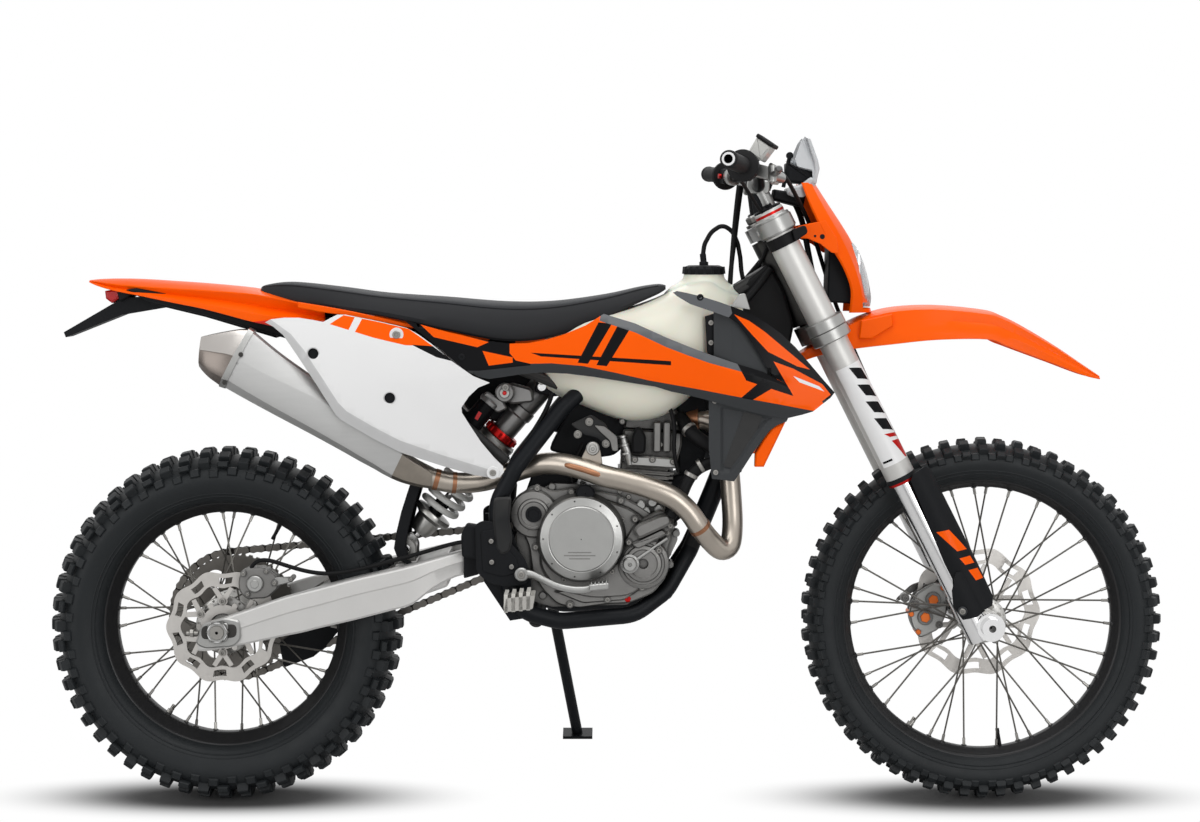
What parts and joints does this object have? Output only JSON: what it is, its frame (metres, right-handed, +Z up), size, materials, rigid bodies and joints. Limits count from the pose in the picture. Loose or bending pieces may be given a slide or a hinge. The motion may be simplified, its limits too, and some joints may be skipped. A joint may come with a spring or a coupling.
{
  "type": "enduro motorcycle",
  "caption": "Enduro dirt motorcycle on its side stand, with turning wheels, steering fork and a folding stand, long flat saddle, high fenders and knobbly tyres.",
  "frame": {"origin": "middle of the base of the whole motorcycle's box, on the floor it stands on", "axes": "+X forward along the length, +Z up, +Y to the rider's left; the machine leans to +Y on its side stand"},
  "size_m": [2.1806, 0.801, 1.3102],
  "materials": {
    "knobbly_tyre": "matte knobbly rubber",
    "black_rim": "black anodised",
    "hub_alloy": "machined, stainless spokes",
    "disc_steel": "ground steel",
    "sprocket_steel": "zinc plated",
    "chain_steel": "oiled",
    "frame_paint": "black powder coat",
    "cast_alloy": "cast and machined",
    "fork_alloy": "anodised silver",
    "bright_steel": "polished",
    "shock_body": "anodised",
    "spring_white": "powder coat",
    "pipe_steel": "heat tinted stainless",
    "silencer_alloy": "brushed",
    "black_plastic": "moulded, matte",
    "radiator_alloy": "finned core",
    "cream_plastic": "natural, slightly translucent",
    "orange_plastic": "moulded gloss",
    "white_plastic": "moulded gloss",
    "seat_cover": "grippy vinyl",
    "hose_rubber": "matte",
    "lamp_red": "clear red lens",
    "lamp_clear": "clear lens",
    "lever_alloy": "anodised",
    "peg_steel": "plated steel",
    "caliper_alloy": "anodised",
    "bar_alloy": "black anodised"
  },
  "bodies": {
    "chassis": {"main_frame": "frame_paint", "subframe": "frame_paint", "swingarm": "cast_alloy", "swingarm_bolt": "bright_steel", "rear_axle": "bright_steel", "chain": "chain_steel", "front_sprocket": "sprocket_steel", "chain_guide": "black_plastic", "rear_shock": "shock_body", "shock_spring": "spring_white", "crankcase": "cast_alloy", "clutch_cover": "cast_alloy", "ignition_cover": "cast_alloy", "cylinder": "cast_alloy", "throttle_body": "black_plastic", "exhaust_pipe": "pipe_steel", "silencer": "silencer_alloy", "radiators": "radiator_alloy", "radiator_guards": "black_plastic", "fuel_tank": "cream_plastic", "tank_cap": "black_plastic", "tank_vent_hose": "hose_rubber", "seat": "seat_cover", "shrouds": "orange_plastic", "side_panels": "white_plastic", "rear_fender": "orange_plastic", "tail_light": "lamp_red", "plate_bracket": "black_plastic", "mud_flap": "black_plastic", "footpegs": "peg_steel", "frame_guards": "black_plastic", "brake_pedal": "lever_alloy", "shift_lever": "lever_alloy", "rear_caliper": "caliper_alloy", "stand_bracket": "frame_paint"},
    "fork": {"fork_outer_tubes": "fork_alloy", "fork_inner_tubes": "bright_steel", "fork_clamps": "cast_alloy", "fork_guards": "black_plastic", "handlebar": "bar_alloy", "grips": "hose_rubber", "brake_lever": "lever_alloy", "clutch_lever": "lever_alloy", "headlight_mask": "orange_plastic", "headlamp": "lamp_clear", "front_fender": "orange_plastic", "front_axle": "bright_steel", "front_caliper": "caliper_alloy"},
    "front_wheel": {"front_tyre": "knobbly_tyre", "front_rim": "black_rim", "front_hub": "hub_alloy", "front_disc": "disc_steel"},
    "rear_wheel": {"rear_tyre": "knobbly_tyre", "rear_rim": "black_rim", "rear_hub": "hub_alloy", "rear_disc": "disc_steel", "rear_sprocket": "sprocket_steel"},
    "side_stand": {"side_stand": "peg_steel"}
  },
  "joints": [
    {"name": "steering", "type": "hinge", "parent": "chassis", "child": "fork", "pos_m": [0.35272, -0.03956, 1.00507], "axis": [-0.4468, 0.163, 0.8797], "range_deg": [-42, 42]},
    {"name": "front_wheel_spin", "type": "hinge", "parent": "fork", "child": "front_wheel", "pos_m": [0.73672, -0.16093, 0.35023], "axis": [0, 0.9833, -0.1822], "continuous": true},
    {"name": "rear_wheel_spin", "type": "hinge", "parent": "chassis", "child": "rear_wheel", "pos_m": [-0.74528, -0.16257, 0.34137], "axis": [0, 0.9833, -0.1822], "continuous": true},
    {"name": "side_stand_fold", "type": "hinge", "parent": "chassis", "child": "side_stand", "pos_m": [-0.11528, -0.01176, 0.34292], "axis": [0.1261, 0.953, 0.2757], "range_deg": [0, 96.4]}
  ]
}
